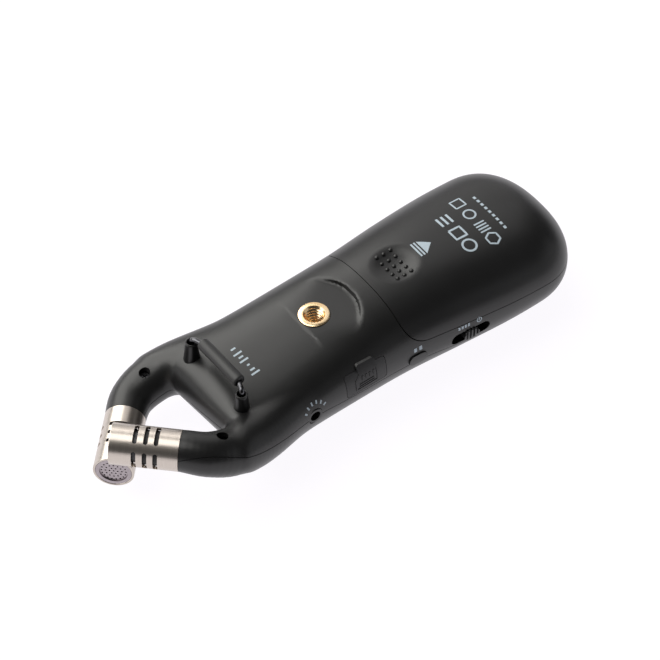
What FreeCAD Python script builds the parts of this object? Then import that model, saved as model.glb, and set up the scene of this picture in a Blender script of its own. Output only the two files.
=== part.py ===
import FreeCAD, Part

import math
import os

from FreeCAD import Placement, Rotation, Vector

# Portable field recorder, lying on its front face. Lengths are in millimetres.
# +Y runs to the microphones, +Z up through the rear cover, -X is the side with
# the line input, the card door, the side key and the power slider.
# Lengths along Y are measured here from the axis of the tripod socket; save()
# moves every piece so that the origin is under the middle of the recorder.
os.makedirs("parts", exist_ok=True)

# ---- driving dimensions -------------------------------------------------
TAIL_Y = -89.67
HEAD_Y = 43.5
TAIL_ROUND = 19.8
HEAD_ROUND = 9.0
ROUND_POWER = 2.4
WIDE_Z = 16.55
UPPER_POWER = 2.37
LOWER_POWER = 2.0
KEEL_Z = -1.5
WALL = 1.8
FLOOR = 1.6
SEAM = 0.16
HALF_WIDTH_AT = [(-95, 25.0), (-80, 25.3), (-60, 25.6), (-40, 24.3), (-20, 22.7),
                 (0, 22.7), (20, 23.3), (40, 24.2), (52, 24.4)]
CROWN_AT = [(-95, 30.2), (-70, 31.8), (-40, 33.6), (-15, 32.8), (0, 31.3),
            (20, 28.7), (40, 26.4), (52, 24.6)]

MIC_RADIUS = 6.335
MIC_LENGTH = 21.2
MIC_HIGH_Z = 24.75
MIC_LOW_Z = 11.0
MIC_ROOT_X = 14.87
MIC_ROOT_Y = 60.48
SLEEVE_BORE = 5.55
DIAGONAL = math.sqrt(0.5)

# arm centre line: distance from the middle, Y, radius, height of the high and low arm
ARM_POINTS = [(14.5, 14.0, 5.2, 15.8, 14.2), (19.8, 32.0, 6.7, 17.4, 13.5),
              (21.4, 45.5, 7.4, 20.2, 12.6), (19.9, 54.2, 6.85, 23.3, 11.3),
              (MIC_ROOT_X, MIC_ROOT_Y, 6.3, MIC_HIGH_Z, MIC_LOW_Z)]
ARM_WALL = 1.7

# parting surface of the two housings: height on the centre line and sideways slope
PARTING_AT = [(-100, 8.4), (-70, 9.6), (-45, 11.6), (-25, 14.2), (0, 15.05),
              (20, 16.4), (45, 16.9), (60, 17.9), (95, 17.9)]
PARTING_SLOPE_AT = [(-100, 0.0), (-45, 0.0), (0, 0.0), (18, 0.03), (30, 0.1),
                    (45, 0.24), (60, 0.458), (95, 0.458)]

SOCKET_FLAT_Z = 30.8
SOCKET_FLAT_RADIUS = 14.0
INSERT_RADIUS = 5.0
INSERT_LENGTH = 10.3
THREAD_MINOR_RADIUS = 2.6
COVER_FRONT_Y = -19.5
COVER_EDGE_Z = 21.4
COVER_TAIL_EDGE_Z = 17.4
DISH_Y = -30.6
DISH_RADIUS = 7.55
DISH_DEPTH = 1.5

CELL_RADIUS = 7.15
CELL_X = 7.55
CELL_Z = 21.55
CELL_BACK_Y = -73.4
CELL_LENGTH = 49.4

MAIN_BOARD_Z = 13.4
KEY_BOARD_Z = 7.0
BOARD = 1.2

POST_X = 12.8
POST_Y = 36.7
GRIP_Y = 34.9
GRIP_Z = 33.4
WIRE_RADIUS = 0.95

JACK_Y = 16.9
JACK_Z = 17.2
JACK_BORE = 1.8
JACK_COLLAR = 2.6
DOOR_LOW, DOOR_HIGH = (-10.8, 15.75), (4.6, 24.0)
SIDE_KEY_Y = -22.5
SIDE_KEY_Z = 15.8
SLIDER_Y = -41.9
SLIDER_Z = 15.4
VOLUME_KEY_Z = 16.3
KEY_FACE_Z = 0.35
KEY_WELL_Z = 0.8
LAMP_Y = 30.4


# ---- helpers --------------------------------------------------------------
def lookup(y, stations):
    """Value at y on a smooth curve through the (y, value) stations."""
    last = len(stations) - 1
    i = max(k for k in range(last) if k == 0 or stations[k][0] <= y)

    def slope(k):
        a, b = stations[max(k - 1, 0)], stations[min(k + 1, last)]
        return (b[1] - a[1]) / (b[0] - a[0])

    (y0, v0), (y1, v1) = stations[i], stations[i + 1]
    step = y1 - y0
    t = (y - y0) / step
    return (v0 * (1 + 2 * t) * (1 - t) ** 2 + v1 * t * t * (3 - 2 * t)
            + slope(i) * step * t * (1 - t) ** 2 - slope(i + 1) * step * t * t * (1 - t))


def box(x0, x1, y0, y1, z0, z1):
    return Part.makeBox(x1 - x0, y1 - y0, z1 - z0, Vector(x0, y0, z0))


def rod(x, y, z, radius, length, axis=(0, 0, 1)):
    return Part.makeCylinder(radius, length, Vector(x, y, z), Vector(*axis))


def fused(shapes):
    whole = shapes[0].fuse(shapes[1:]) if len(shapes) > 1 else shapes[0]
    return whole.removeSplitter()


def group(shapes):
    return Part.makeCompound([solid for shape in shapes for solid in shape.Solids])


def rounded_box(x0, x1, y0, y1, z0, z1, radius, axis="z"):
    """Box whose edges along one axis are rounded."""
    block = box(x0, x1, y0, y1, z0, z1)
    along = {"x": 0, "y": 1, "z": 2}[axis]
    edges = [e for e in block.Edges
             if abs((e.Vertexes[1].Point - e.Vertexes[0].Point)[along]) > 1e-6]
    return block.makeFillet(radius, edges)


def closed_curve(points):
    curve = Part.BSplineCurve()
    evenly = [float(i) for i in range(len(points) + 1)]
    curve.interpolate(Points=points, PeriodicFlag=True, Parameters=evenly)
    return Part.Wire(curve.toShape())


def rounded_path(points, share=0.45):
    """Wire of straight runs joined by tangent arcs."""
    vectors = [Vector(*p) for p in points]
    edges = []
    start = vectors[0]
    for before, corner, after in zip(vectors, vectors[1:], vectors[2:]):
        a, b = before - corner, after - corner
        cut = share * min(a.Length, b.Length)
        a.normalize()
        b.normalize()
        p, q = corner + a * cut, corner + b * cut
        half_turn = (math.pi - a.getAngle(b)) / 2
        radius = cut / math.tan(half_turn)
        middle = (a + b).normalize()
        centre_gap = math.hypot(radius, cut)
        edges.append(Part.LineSegment(start, p).toShape())
        edges.append(Part.Arc(p, corner + middle * (centre_gap - radius), q).toShape())
        start = q
    edges.append(Part.LineSegment(start, vectors[-1]).toShape())
    return Part.Wire(edges)


def tube_along(points, radius, share=0.45):
    path = rounded_path(points, share)
    first = Vector(*points[1]) - Vector(*points[0])
    ring = Part.Wire(Part.makeCircle(radius, Vector(*points[0]), first))
    return path.makePipeShell([ring], True, False)


def save(name, shape):
    moved = shape.copy()
    moved.translate(Vector(0, MIDDLE_SHIFT, 0))
    moved.exportStep("parts/%s.step" % name)


# ---- outer form -----------------------------------------------------------
def end_scale(y, inset):
    """How far the section has shrunk where the tail and the head round off."""
    tail = (TAIL_Y + TAIL_ROUND - y) / (TAIL_ROUND - inset)
    head = (y - HEAD_Y + HEAD_ROUND) / (HEAD_ROUND - inset)
    run = max(tail, head, 0.0)
    return max(1 - run ** ROUND_POWER, 0.0) ** 0.43


def section(y, inset):
    """Cross-section of the body, a flattened ellipse set in by inset."""
    shrink = end_scale(y, inset)
    half = (lookup(y, HALF_WIDTH_AT) - inset) * shrink
    up = (lookup(y, CROWN_AT) - WIDE_Z - inset) * shrink
    down = (WIDE_Z - KEEL_Z - inset) * shrink
    points = []
    for i in range(36):
        angle = 2 * math.pi * i / 36
        c, s = math.cos(angle), math.sin(angle)
        power, height = (UPPER_POWER, up) if s >= 0 else (LOWER_POWER, down)
        x = math.copysign(abs(c) ** (2 / power), c) * half
        z = WIDE_Z + math.copysign(abs(s) ** (2 / power), s) * height
        points.append(Vector(x, y, z))
    return closed_curve(points)


def body_form(inset, floor=None):
    """Body without the arms, set in by inset and cut flat at the floor height."""
    runs = (0.99, 0.95, 0.87, 0.74, 0.55, 0.3)
    ys = [TAIL_Y + TAIL_ROUND - (TAIL_ROUND - inset) * r for r in runs]
    ys += [-69.9, -60, -50, -40, -30, -20, -10, 0, 10, 20, 28]
    ys += [HEAD_Y - HEAD_ROUND + (HEAD_ROUND - inset) * r for r in reversed(runs)]
    form = Part.makeLoft([section(y, inset) for y in ys], True, False)
    if floor is not None:
        form = form.cut(box(-40, 40, -100, 60, -20, floor))
    return form


def body_slice(inset, y0, y1):
    """Stretch of the body between two places along it."""
    steps = 6
    ys = [y0 + (y1 - y0) * i / steps for i in range(steps + 1)]
    return Part.makeLoft([section(y, inset) for y in ys], True, False)


def arm_form(side, inset):
    """Round arm that sweeps out of the body and turns in to its microphone."""
    height = 3 if side < 0 else 4
    curve = Part.BSplineCurve()
    points = [Vector(side * p[0], p[1], p[height]) for p in ARM_POINTS]
    curve.interpolate(Points=points, InitialTangent=Vector(side * 6, 18, 0),
                      FinalTangent=Vector(-side * 7, 7, 0))
    radii = [(curve.parameter(q), p[2]) for p, q in zip(ARM_POINTS, points)]
    rings = []
    last = curve.LastParameter
    for i in range(15):
        t = last * i / 14
        along = curve.tangent(t)[0]
        across = along.cross(Vector(0, 0, 1))
        turn = Rotation(across, Vector(0, 0, 0), along, "ZXY")
        ring = Part.makeCircle(lookup(t, radii) - inset)
        ring.Placement = Placement(curve.value(t), turn)
        rings.append(Part.Wire(ring))
    return Part.makeLoft(rings, True, False)


def parting_height(x, y):
    return lookup(y, PARTING_AT) + x * -lookup(y, PARTING_SLOPE_AT)


def below_parting(offset):
    """Everything under the parting surface, raised by offset."""
    walls = []
    for y in (-100, -85, -70, -57, -45, -35, -25, -12, 0, 10, 20, 30, 38, 45, 53, 60, 75, 95):
        corners = [Vector(-40, y, -20), Vector(40, y, -20),
                   Vector(40, y, parting_height(40, y) + offset),
                   Vector(-40, y, parting_height(-40, y) + offset)]
        walls.append(Part.makePolygon(corners + corners[:1]))
    return Part.makeLoft(walls, True, False)


def cover_region(gap):
    """Block that holds the battery cover, its walls moved out by gap."""
    front, edge, tail = COVER_FRONT_Y + gap, COVER_EDGE_Z - gap, COVER_TAIL_EDGE_Z - gap
    corner = 8.5
    top = Vector(0, front, 45)
    turn_start = Vector(0, front, edge + corner)
    bulge = corner * (1 - DIAGONAL)
    turn_middle = Vector(0, front - bulge, edge + bulge)
    turn_end = Vector(0, front - corner, edge)
    tail_low, tail_high = Vector(0, -95, tail), Vector(0, -95, 45)
    outline = Part.Wire([Part.LineSegment(top, turn_start).toShape(),
                         Part.Arc(turn_start, turn_middle, turn_end).toShape(),
                         Part.LineSegment(turn_end, tail_low).toShape(),
                         Part.LineSegment(tail_low, tail_high).toShape(),
                         Part.LineSegment(tail_high, top).toShape()])
    sheet = Part.Face(outline)
    sheet.translate(Vector(-35, 0, 0))
    return sheet.extrude(Vector(70, 0, 0))


def pill(side, y, z, length, height, depth_from, depth_to):
    """Prism with round ends, along Y, that runs through one side wall."""
    x0, x1 = sorted((side * depth_from, side * depth_to))
    return rounded_box(x0, x1, y - length / 2, y + length / 2,
                       z - height / 2, z + height / 2, height / 2 - 0.01, "x")


def side_surface(y, z):
    """Half-width of the body at one height."""
    power, height = ((UPPER_POWER, lookup(y, CROWN_AT) - WIDE_Z) if z > WIDE_Z
                     else (LOWER_POWER, WIDE_Z - KEEL_Z))
    drop = (abs(z - WIDE_Z) / height) ** power
    return lookup(y, HALF_WIDTH_AT) * end_scale(y, 0) * (1 - drop) ** (1 / power)


# ---- housings -------------------------------------------------------------
FRONT_KEYS = [("record_key", 0, -13.5, 4.6), ("rewind_key", -5.0, -24.2, 3.1),
              ("forward_key", 5.0, -24.2, 3.1), ("stop_key", -5.0, -32.2, 3.1),
              ("play_key", 5.0, -32.2, 3.1), ("menu_key", 0, -40.0, 2.6)]
VOLUME_KEYS = [("volume_up_key", 2.0), ("volume_down_key", -7.0)]
BOARD_SCREWS = [(-13.5, 27.5), (13.5, 27.5), (-13.5, -16.5), (13.5, -16.5)]
ARM_SCREW_X, ARM_SCREW_Y = 20.3, 49.2
ARM_SCREW_TOP = {-1: 26.9, 1: 19.0}
SPEAKER_Y = -60.0


def socket_cut():
    flat = rod(0, 0, SOCKET_FLAT_Z, SOCKET_FLAT_RADIUS, 10)
    return flat.fuse(rod(0, 0, SOCKET_FLAT_Z - INSERT_LENGTH, INSERT_RADIUS, 20))


def arm_screw_cut(side):
    top = ARM_SCREW_TOP[side]
    x = side * ARM_SCREW_X
    recess = rod(x, ARM_SCREW_Y, top - 2.6, 1.8, 10)
    return recess.fuse(rod(x, ARM_SCREW_Y, top - 11.0, 0.85, 10))


def side_openings():
    low_x, high_x = -30, -10
    door = rounded_box(low_x, -18.5, DOOR_LOW[0], DOOR_HIGH[0], DOOR_LOW[1], DOOR_HIGH[1], 1.0, "x")
    card = box(low_x, high_x, -8.3, 3.3, 16.7, 18.4)
    cuts = [door.cut(body_slice(1.25, -16, 11)), card,
            pill(-1, SIDE_KEY_Y, SIDE_KEY_Z, 6.8, 4.2, 10, 30),
            pill(-1, SLIDER_Y, SLIDER_Z, 14.0, 4.6, 10, 30),
            rod(-30, JACK_Y, JACK_Z, JACK_COLLAR + 0.1, 20, (1, 0, 0)),
            rod(10, JACK_Y, JACK_Z, JACK_COLLAR + 0.1, 20, (1, 0, 0)),
            rounded_box(10, 30, -24.7, -15.3, 15.1, 18.7, 1.7, "x")]
    cuts += [pill(1, y, VOLUME_KEY_Z, 6.7, 3.7, 10, 30) for name, y in VOLUME_KEYS]
    return cuts


def housing_form():
    """Body and arms in one."""
    return body_form(0, 0).fuse([arm_form(-1, 0), arm_form(1, 0)])


def front_openings():
    cuts = [rounded_box(-8.6, 8.6, -0.6, 28.6, -1, 1.3, 1.5),
            rounded_box(-7.4, 7.4, 0.6, 27.4, -1, 4, 1.0),
            rounded_box(-8.8, 8.8, -44.0, -8.0, -1, KEY_WELL_Z, 4.0),
            rod(0, LAMP_Y, -1, 1.05, 5)]
    cuts += [rod(x, y, -1, radius + 0.15, 5) for name, x, y, radius in FRONT_KEYS]
    for ring, count in ((0, 1), (2.2, 6), (4.4, 12)):
        for i in range(count):
            angle = 2 * math.pi * i / count
            cuts.append(rod(ring * math.cos(angle), SPEAKER_Y + ring * math.sin(angle), -1, 0.6, 5))
    return cuts


def make_housings():
    outer = housing_form()
    shell = outer.cut([body_form(WALL, FLOOR), arm_form(-1, ARM_WALL), arm_form(1, ARM_WALL)])
    ribs = [rod(0, 0, 28.7, SOCKET_FLAT_RADIUS + 2, 12),
            rod(0, 0, SOCKET_FLAT_Z - INSERT_LENGTH - 1.2, INSERT_RADIUS + 2, 20)]
    ribs += [rod(side * ARM_SCREW_X, ARM_SCREW_Y, 0, 2.5, 40) for side in (-1, 1)]
    shell = shell.fuse([rib.common(outer) for rib in ribs])
    screw_bores = [rod(x, y, MAIN_BOARD_Z, 0.85, 6) for x, y in BOARD_SCREWS]
    cuts = [socket_cut(), arm_screw_cut(-1), arm_screw_cut(1)] + side_openings()
    shell = shell.cut(cuts)
    front = shell.common(below_parting(-SEAM / 2)).cut(front_openings())
    upper = shell.cut(below_parting(SEAM / 2))
    cover = upper.common(cover_region(0))
    board_ribs = [rod(x, y, MAIN_BOARD_Z + BOARD, 2.4, 20).common(outer)
                  for x, y in BOARD_SCREWS]
    rear = upper.cut(cover_region(SEAM)).fuse(board_ribs).cut(screw_bores)
    sphere = (DISH_RADIUS ** 2 + DISH_DEPTH ** 2) / (2 * DISH_DEPTH)
    dish_top = lookup(DISH_Y, CROWN_AT)
    centre = Vector(0, DISH_Y, dish_top - DISH_DEPTH + sphere)
    backing = Part.makeSphere(sphere + 1.2, centre).common(outer)
    backing = backing.common(rod(0, DISH_Y, 20, DISH_RADIUS + 1.2, 20))
    tongue = box(-4, 4, -22.0, -17.4, 29.7, 30.6)
    hook = box(-4, 4, -22.0, -20.2, 29.7, 32.0)
    cover = cover.fuse([backing, tongue, hook]).cut(Part.makeSphere(sphere, centre))
    bumps = []
    for i in range(5):
        for j in range(3):
            x, y = (i - 2) * 2.65, (j - 1) * 2.65
            z = centre.z - math.sqrt(sphere ** 2 - x * x - y * y)
            bumps.append(Part.makeSphere(0.65, Vector(x, DISH_Y + y, z)))
    save("battery_cover", cover.fuse(bumps))
    save("rear_housing", biggest(rear))
    save("front_housing", biggest(front))


def biggest(shape):
    return max(shape.Solids, key=lambda solid: solid.Volume)


# ---- microphones ----------------------------------------------------------
def mic_placement(side):
    """Local +Z runs from the arm to the free end of the microphone."""
    z = MIC_HIGH_Z if side < 0 else MIC_LOW_Z
    along = Vector(-side * DIAGONAL, DIAGONAL, 0)
    turn = Rotation(Vector(0, 0, 0), Vector(0, 0, 1), along, "ZYX")
    return Placement(Vector(side * MIC_ROOT_X, MIC_ROOT_Y, z), turn)


def slot_tool(distance, angle):
    """Short round-ended slot that runs part of the way round the sleeve."""
    width, half_arc = 1.4, 27.0
    low, high = distance - width / 2, distance + width / 2
    corners = [Vector(5, 0, low), Vector(8, 0, low), Vector(8, 0, high), Vector(5, 0, high)]
    face = Part.Face(Part.makePolygon(corners + corners[:1]))
    sweep = face.revolve(Vector(0, 0, 0), Vector(0, 0, 1), 2 * half_arc)
    sweep.rotate(Vector(0, 0, 0), Vector(0, 0, 1), angle - half_arc)
    ends = []
    for turn in (angle - half_arc, angle + half_arc):
        c, s = math.cos(math.radians(turn)), math.sin(math.radians(turn))
        ends.append(rod(4 * c, 4 * s, distance, width / 2, 5, (c, s, 0)))
    return [sweep] + ends


def make_mics():
    for side, label in ((-1, "left"), (1, "right")):
        place = mic_placement(side)
        sleeve = rod(0, 0, 0.15, MIC_RADIUS, MIC_LENGTH - 0.15).cut(rod(0, 0, -1, SLEEVE_BORE, 30))
        tools = []
        for from_end in (7.7, 11.0, 14.2):
            for angle in (0, 90, 180, 270):
                tools += slot_tool(MIC_LENGTH - from_end, angle)
        rim = [e for e in sleeve.Edges if abs(e.BoundBox.ZMax - MIC_LENGTH) < 1e-6
               and abs(e.BoundBox.ZMin - MIC_LENGTH) < 1e-6]
        sleeve = sleeve.makeFillet(0.3, rim).cut(tools)
        cap = rod(0, 0, MIC_LENGTH - 1.6, SLEEVE_BORE - 0.02, 1.45)
        cap = cap.cut(rod(0, 0, MIC_LENGTH - 0.6, 4.4, 2))
        holes = []
        for ring, count in ((0, 1), (1.25, 6), (2.5, 12), (3.75, 18)):
            for i in range(count):
                angle = 2 * math.pi * i / count
                holes.append(rod(ring * math.cos(angle), ring * math.sin(angle), MIC_LENGTH - 3, 0.27, 5))
        cap = cap.cut(holes)
        capsule = rod(0, 0, MIC_LENGTH - 9.0, 4.85, 6.6)
        holder = fused([rod(0, 0, 0.5, SLEEVE_BORE - 0.05, 3.0), rod(0, 0, -2.8, 4.2, 3.4),
                        rod(0, 0, 3.4, 5.2, MIC_LENGTH - 12.5)])
        holder = holder.cut(rod(0, 0, -5, 0.9, 30))
        for name, shape in (("mic_sleeve", sleeve), ("mic_cap", cap),
                            ("mic_capsule", capsule), ("capsule_holder", holder)):
            placed = shape.copy()
            placed.Placement = place.multiply(placed.Placement)
            save("%s_%s" % (name, label), placed)


def make_leads():
    """Lead in each arm, from the capsule holder to its plug on the main board."""
    routes = {
        "left": [(-17.0, 58.36, 24.75), (-22.7, 53.2, 23.7), (-24.9, 47.0, 21.2),
                 (-21.6, 39.5, 19.6), (-15.6, 36.4, 19.6), (-15.0, 33.2, 19.6)],
        "right": [(17.0, 58.36, 11.0), (22.7, 53.2, 11.2), (24.9, 47.0, 12.4),
                  (21.6, 39.5, 13.8), (15.6, 36.4, 15.7), (15.0, 33.2, 15.9)]}
    for label, route in routes.items():
        save("mic_lead_%s" % label, tube_along(route, 0.7))
    plugs = [box(-17, -13, 30.2, 33.0, MAIN_BOARD_Z + BOARD, 21.1),
             box(13, 17, 30.2, 33.0, MAIN_BOARD_Z + BOARD, 17.4)]
    save("mic_plugs", group(plugs))


# ---- bail, socket and screws ----------------------------------------------
def make_bail():
    posts = []
    body = body_form(-0.04)
    for side in (-1, 1):
        post = Part.makeCone(2.5, 1.95, 8.2, Vector(side * POST_X, POST_Y, 23.8))
        post = post.cut(rod(side * POST_X, POST_Y, 30.2, 1.2, 3))
        posts.append(post.cut(body))
    save("bail_posts", group([biggest(post) for post in posts]))
    route = [(-POST_X, POST_Y, 30.4), (-POST_X, POST_Y - 0.3, GRIP_Z), (-8, GRIP_Y, GRIP_Z),
             (8, GRIP_Y, GRIP_Z), (POST_X, POST_Y - 0.3, GRIP_Z), (POST_X, POST_Y, 30.4)]
    save("bail_wire", tube_along(route, WIRE_RADIUS, 0.42))
    grip = rod(-9.4, GRIP_Y, GRIP_Z, 1.75, 18.8, (1, 0, 0))
    grip = grip.makeFillet(0.35, [e for e in grip.Edges if e.Length > 10 and e.BoundBox.XLength < 0.1])
    grip = grip.cut(tube_along(route, WIRE_RADIUS + 0.12, 0.42))
    save("bail_grip", biggest(grip))


def make_socket():
    z = SOCKET_FLAT_Z - INSERT_LENGTH + 0.05
    insert = rod(0, 0, z, INSERT_RADIUS - 0.04, INSERT_LENGTH + 0.15)
    mouth = z + INSERT_LENGTH + 0.15
    insert = insert.makeFillet(0.25, [e for e in insert.Edges if e.BoundBox.ZMin > mouth - 0.01
                                      and e.BoundBox.XLength > 1])
    bore = rod(0, 0, z + 1.0, THREAD_MINOR_RADIUS, 20)
    bevel = Part.makeCone(THREAD_MINOR_RADIUS, 3.4, 0.8, Vector(0, 0, mouth - 0.8))
    save("tripod_insert", insert.cut([bore, bevel]))


def screw(x, y, z, up, head_radius, length):
    """Pan-head screw; z is under the head and up is the way the head faces."""
    shank = rod(x, y, z, 0.8, length, (0, 0, -up))
    head = rod(x, y, z, head_radius, 1.1, (0, 0, up))
    whole = shank.fuse(head)
    for angle in (0, 90):
        blade = box(-0.95, 0.95, -0.2, 0.2, -0.7, 0.7)
        blade.rotate(Vector(0, 0, 0), Vector(0, 0, 1), angle)
        blade.translate(Vector(x, y, z + up * 1.1))
        whole = whole.cut(blade)
    return whole


def make_screws():
    arms = [screw(side * ARM_SCREW_X, ARM_SCREW_Y, ARM_SCREW_TOP[side] - 2.6, 1, 1.65, 7.5)
            for side in (-1, 1)]
    save("arm_screws", group(arms))
    boards = [screw(x, y, MAIN_BOARD_Z, -1, 1.6, 5.5) for x, y in BOARD_SCREWS]
    save("board_screws", group(boards))


# ---- electronics ----------------------------------------------------------
def make_boards():
    main = rounded_box(-17.5, 17.5, -20.0, 33.5, MAIN_BOARD_Z, MAIN_BOARD_Z + BOARD, 2.0)
    main = main.cut([rod(x, y, 10, 0.85, 20) for x, y in BOARD_SCREWS])
    save("main_board", main)
    save("key_board", rounded_box(-13.5, 13.5, -72.0, 31.0, KEY_BOARD_Z, KEY_BOARD_Z + BOARD, 2.0))
    top = MAIN_BOARD_Z + BOARD
    chips = [box(1.0, 8.0, 10.0, 17.0, top, top + 1.0), box(3.0, 9.0, 21.0, 27.0, top, top + 0.9),
             box(-8.5, -1.5, 18.0, 25.0, top, top + 1.0)]
    save("board_chips", group(chips))


def make_display():
    save("display_window", rounded_box(-8.5, 8.5, -0.5, 28.5, KEY_FACE_Z, 1.25, 1.4))
    glass = rounded_box(-7.9, 7.9, -0.2, 28.2, 2.2, 4.4, 0.6)
    frame = box(-8.2, 8.2, -1.0, 29.0, 4.4, KEY_BOARD_Z - 0.05)
    save("display_module", glass.fuse(frame))
    lamp = rod(0, LAMP_Y, 0.4, 0.95, 3.2)
    save("record_lamp", lamp.fuse(box(-1.6, 1.6, LAMP_Y - 1.2, LAMP_Y + 1.5, 3.0, 5.0)))


def make_front_keys():
    switches = []
    for name, x, y, radius in FRONT_KEYS:
        cap = rod(x, y, KEY_FACE_Z, radius, 1.55)
        cap = cap.makeFillet(0.25, [e for e in cap.Edges if e.BoundBox.ZMax < KEY_FACE_Z + 0.01])
        flange = rod(x, y, 1.9, radius + 0.5, 0.6)
        stem = rod(x, y, 2.4, 1.2, 2.0)
        save(name, fused([cap, flange, stem]))
        switches.append(box(x - 2.2, x + 2.2, y - 2.2, y + 2.2, 5.6, KEY_BOARD_Z))
        switches.append(rod(x, y, 5.0, 0.9, 0.6))
    bodies = [switches[i].fuse(switches[i + 1]) for i in range(0, len(switches), 2)]
    save("key_switches", group(bodies))


def side_cap(side, y, z, length, height, stem_to, proud):
    """Key cap in a side wall, its face on the body's curve and a flange behind."""
    outer = body_slice(-proud, y - 8, y + 8)
    face = side_surface(y, z)
    cap = pill(side, y, z, length, height, face - 2.6, 30).common(outer)
    flange = pill(side, y, z, length + 1.0, height + 1.0, face - 3.2, face - 2.55)
    stem = pill(side, y, z, 2.4, 2.0, stem_to, face - 3.1)
    return fused([cap, flange, stem])


def make_side_keys():
    save("side_key", side_cap(-1, SIDE_KEY_Y, SIDE_KEY_Z, 6.6, 4.0, 18.4, 0.5))
    base = KEY_BOARD_Z + BOARD
    low_y, high_y = SIDE_KEY_Y - 2.3, SIDE_KEY_Y + 2.3
    upright = box(-17.7, -16.2, low_y, high_y, base, SIDE_KEY_Z + 1.9)
    foot = box(-16.3, -12.0, low_y, high_y, base, base + 1.2)
    save("side_key_switch", upright.fuse(foot))
    for name, y in VOLUME_KEYS:
        save(name, side_cap(1, y, VOLUME_KEY_Z, 6.5, 3.5, 18.7, 0.5))
    top = MAIN_BOARD_Z + BOARD
    switches = [box(14.6, 18.1, y - 2.5, y + 2.5, top, VOLUME_KEY_Z + 1.9)
                for name, y in VOLUME_KEYS]
    save("volume_switches", group(switches))


def make_slider():
    face = side_surface(SLIDER_Y, SLIDER_Z)
    outer = body_slice(-0.75, SLIDER_Y - 12, SLIDER_Y + 12)
    knob = pill(-1, SLIDER_Y, SLIDER_Z, 5.4, 4.2, face - 3.2, 30).common(outer)
    for i in range(4):
        groove = box(-30, -(face + 0.25), -0.35, 0.35, 0, 30)
        groove.translate(Vector(0, SLIDER_Y + (i - 1.5) * 1.25, 0))
        knob = knob.cut(groove)
    plate = pill(-1, SLIDER_Y, SLIDER_Z, 17.6, 5.2, face - 3.9, face - 3.15)
    arm = box(-(face - 3.75), -(face - 4.6), SLIDER_Y - 0.8, SLIDER_Y + 0.8, 10.6, SLIDER_Z)
    finger = box(-(face - 4.2), -18.0, SLIDER_Y - 0.8, SLIDER_Y + 0.8, 10.6, 12.0)
    save("power_slider", fused([biggest(knob), plate, arm, finger]))
    body = box(-18.9, -12.0, SLIDER_Y - 5, SLIDER_Y + 5, KEY_BOARD_Z + BOARD, 12.6)
    body = body.cut(box(-19.2, -17.0, SLIDER_Y - 4.2, SLIDER_Y + 4.2, 9.8, 13.0))
    save("power_switch", body)


def jack(side):
    """Socket for a round plug, its mouth in the side wall."""
    face = side_surface(JACK_Y, JACK_Z) + 0.1
    axis = (side, 0, 0)
    barrel = rod(side * 17.4, JACK_Y, JACK_Z, JACK_COLLAR, face - 17.4, axis)
    x0, x1 = sorted((side * 9.0, side * 17.5))
    body = box(x0, x1, JACK_Y - 3.2, JACK_Y + 3.2, MAIN_BOARD_Z + BOARD, JACK_Z + 2.9)
    return fused([barrel, body]).cut(rod(side * 10.0, JACK_Y, JACK_Z, JACK_BORE, 20, axis))


def make_ports():
    save("line_in_jack", jack(-1))
    save("headphone_jack", jack(1))
    top = MAIN_BOARD_Z + BOARD
    port = rounded_box(16.5, 22.0, -24.5, -15.5, 15.3, 18.5, 1.55, "x")
    port = port.fuse(box(16.5, 18.0, -22.5, -17.5, top, 15.6))
    port = port.cut(rounded_box(17.2, 30, -24.15, -15.85, 15.65, 18.15, 1.2, "x"))
    save("data_port", port.fuse(box(16.9, 20.6, -23.3, -16.7, 16.55, 17.25)))
    slot = box(-19.2, -4.0, -9.6, 4.6, top, 19.0).cut(box(-30, -5.0, -8.3, 3.3, 16.8, 18.3))
    save("card_slot", slot)
    card = rounded_box(-20.6, -6.3, -8.0, 3.0, 17.15, 17.95, 0.6)
    save("memory_card", card.cut(box(-13, -11, 2.4, 5, 16, 19)))


def make_card_door():
    low, high = DOOR_LOW[0] - 6, DOOR_HIGH[0] + 6
    block = rounded_box(-30, -18.5, DOOR_LOW[0] + 0.15, DOOR_HIGH[0] - 0.15,
                        DOOR_LOW[1] + 0.15, DOOR_HIGH[1] - 0.15, 0.9, "x")
    skin = block.common(body_slice(0, low, high)).cut(body_slice(1.2, low, high))
    tab_block = rounded_box(-30, -17.0, -7.0, -0.3, 22.9, 25.6, 0.9, "x")
    tab = tab_block.common(body_slice(-0.7, low, high))
    above_wall = tab.cut(body_slice(-0.08, low, high))
    root = tab.common(box(-30, -17, -9, 1, 20, DOOR_HIGH[1] - 0.15)).cut(body_slice(0.6, low, high))
    save("card_door", fused([biggest(skin), biggest(above_wall), biggest(root)]))


def make_speaker():
    frame = rod(0, SPEAKER_Y, 2.0, 7.0, 1.0)
    magnet = rod(0, SPEAKER_Y, 3.0, 5.0, 2.4)
    save("speaker", frame.fuse(magnet))


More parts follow.
